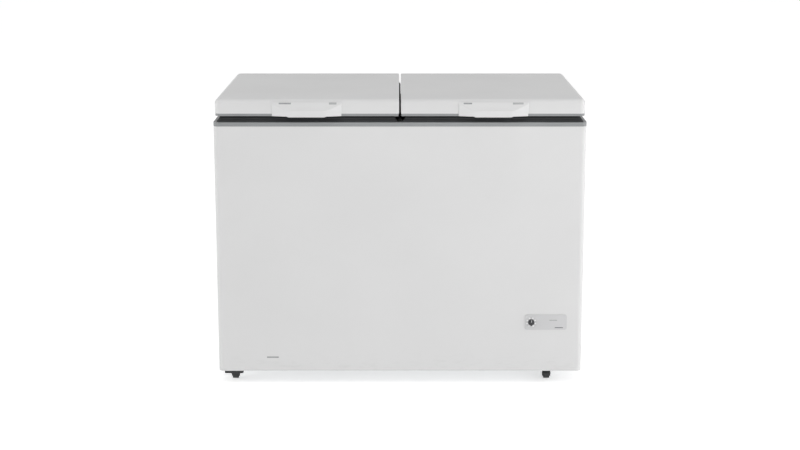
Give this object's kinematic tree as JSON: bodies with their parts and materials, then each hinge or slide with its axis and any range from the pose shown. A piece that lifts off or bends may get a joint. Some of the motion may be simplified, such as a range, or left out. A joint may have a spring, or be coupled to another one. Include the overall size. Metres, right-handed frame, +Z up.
{
  "type": "two-lid chest freezer",
  "caption": "White chest freezer with side-by-side hinged lids, grey rim, dark seals, front thermostat dial and small casters under an insulated tub",
  "frame": {"origin": "on the floor, in the middle of the freezer's outer box", "axes": "+Z up, front faces -Y, +X to the right seen from the front"},
  "size_m": [1.2, 0.773, 0.949],
  "materials": {
    "white_enamel": "satin",
    "back_enamel": "satin",
    "zinc_steel": "satin",
    "liner_aluminium": "satin",
    "foam": "matte",
    "grey_plastic": "satin",
    "dark_rubber": "matte",
    "white_plastic": "satin",
    "panel_plastic": "satin",
    "knob_plastic": "satin",
    "black_enamel": "satin",
    "copper": "satin",
    "black_plastic": "matte",
    "plated_steel": "satin",
    "tube_plastic": "matte",
    "wheel_plastic": "satin"
  },
  "bodies": {
    "cabinet": {"outer_casing": "white_enamel", "rear_panel": "back_enamel", "base_panel": "zinc_steel", "compressor_tray": "zinc_steel", "bay_partition": "zinc_steel", "inner_liner": "liner_aluminium", "cabinet_foam": "foam", "top_frame": "grey_plastic", "centre_crossbar": "grey_plastic", "control_bezel": "panel_plastic", "thermostat_body": "plated_steel", "compressor": "black_enamel", "compressor_terminal_cover": "black_plastic", "compressor_grommets": "dark_rubber", "evaporator_coil": "liner_aluminium", "condenser_coil": "copper", "suction_tube": "copper", "discharge_tube": "copper", "filter_drier": "copper", "rear_bay_cover": "black_plastic", "cord_gland": "black_plastic", "drain_tube": "tube_plastic", "hinge_bases": "zinc_steel", "hinge_pins": "plated_steel", "rear_screws": "plated_steel", "left_lid_springs": "plated_steel", "right_lid_springs": "plated_steel", "front_left_caster_housing": "black_plastic", "rear_left_caster_housing": "black_plastic", "front_right_caster_fork": "black_plastic", "front_right_caster_axle": "plated_steel", "rear_right_caster_fork": "black_plastic", "rear_right_caster_axle": "plated_steel"},
    "left_lid": {"left_lid_shell": "white_enamel", "left_lid_frame": "grey_plastic", "left_lid_liner": "white_plastic", "left_lid_foam": "foam", "left_lid_gasket": "dark_rubber", "left_lid_handle": "white_plastic", "left_lid_hinge_arms": "zinc_steel", "left_lid_screws": "plated_steel"},
    "right_lid": {"right_lid_shell": "white_enamel", "right_lid_frame": "grey_plastic", "right_lid_liner": "white_plastic", "right_lid_foam": "foam", "right_lid_gasket": "dark_rubber", "right_lid_handle": "white_plastic", "right_lid_hinge_arms": "zinc_steel", "right_lid_screws": "plated_steel"},
    "thermostat_control": {"thermostat_knob": "knob_plastic", "thermostat_shaft": "plated_steel"},
    "drain_plug": {"drain_plug": "tube_plastic"},
    "front_left_swivel": {"front_left_caster_fork": "black_plastic", "front_left_caster_axle": "plated_steel"},
    "rear_left_swivel": {"rear_left_caster_fork": "black_plastic", "rear_left_caster_axle": "plated_steel"},
    "front_left_wheel": {"front_left_caster_wheel": "wheel_plastic"},
    "rear_left_wheel": {"rear_left_caster_wheel": "wheel_plastic"},
    "front_right_wheel": {"front_right_caster_wheel": "wheel_plastic"},
    "rear_right_wheel": {"rear_right_caster_wheel": "wheel_plastic"}
  },
  "joints": [
    {"name": "left_lid_hinge", "type": "hinge", "parent": "cabinet", "child": "left_lid", "pos_m": [0, 0.3755, 0.883], "axis": [-1, 0, 0], "range_deg": [0, 85], "stiffness_Nm_per_rad": 5, "springref_deg": 85, "deforming": ["left_lid_springs"]},
    {"name": "right_lid_hinge", "type": "hinge", "parent": "cabinet", "child": "right_lid", "pos_m": [0, 0.3755, 0.883], "axis": [-1, 0, 0], "range_deg": [0, 85], "stiffness_Nm_per_rad": 5, "springref_deg": 85, "deforming": ["right_lid_springs"]},
    {"name": "thermostat_turn", "type": "hinge", "parent": "cabinet", "child": "thermostat_control", "pos_m": [0.4315, -0.3725, 0.211], "axis": [0, 1, 0], "range_deg": [-150, 150]},
    {"name": "drain_plug_lift", "type": "slide", "parent": "cabinet", "child": "drain_plug", "axis": [0, 0, 1], "range_m": [0, 0.06]},
    {"name": "front_left_caster_swivel", "type": "hinge", "parent": "cabinet", "child": "front_left_swivel", "pos_m": [-0.55, -0.3275, 0.035], "axis": [0, 0, 1], "continuous": true},
    {"name": "front_left_wheel_spin", "type": "hinge", "parent": "front_left_swivel", "child": "front_left_wheel", "pos_m": [-0.55, -0.3075, 0.015], "axis": [1, 0, 0], "continuous": true},
    {"name": "rear_left_caster_swivel", "type": "hinge", "parent": "cabinet", "child": "rear_left_swivel", "pos_m": [-0.55, 0.2825, 0.035], "axis": [0, 0, 1], "continuous": true},
    {"name": "rear_left_wheel_spin", "type": "hinge", "parent": "rear_left_swivel", "child": "rear_left_wheel", "pos_m": [-0.55, 0.3025, 0.015], "axis": [1, 0, 0], "continuous": true},
    {"name": "front_right_wheel_spin", "type": "hinge", "parent": "cabinet", "child": "front_right_wheel", "pos_m": [0.49, -0.3075, 0.015], "axis": [1, 0, 0], "continuous": true},
    {"name": "rear_right_wheel_spin", "type": "hinge", "parent": "cabinet", "child": "rear_right_wheel", "pos_m": [0.49, 0.2925, 0.015], "axis": [1, 0, 0], "continuous": true}
  ]
}
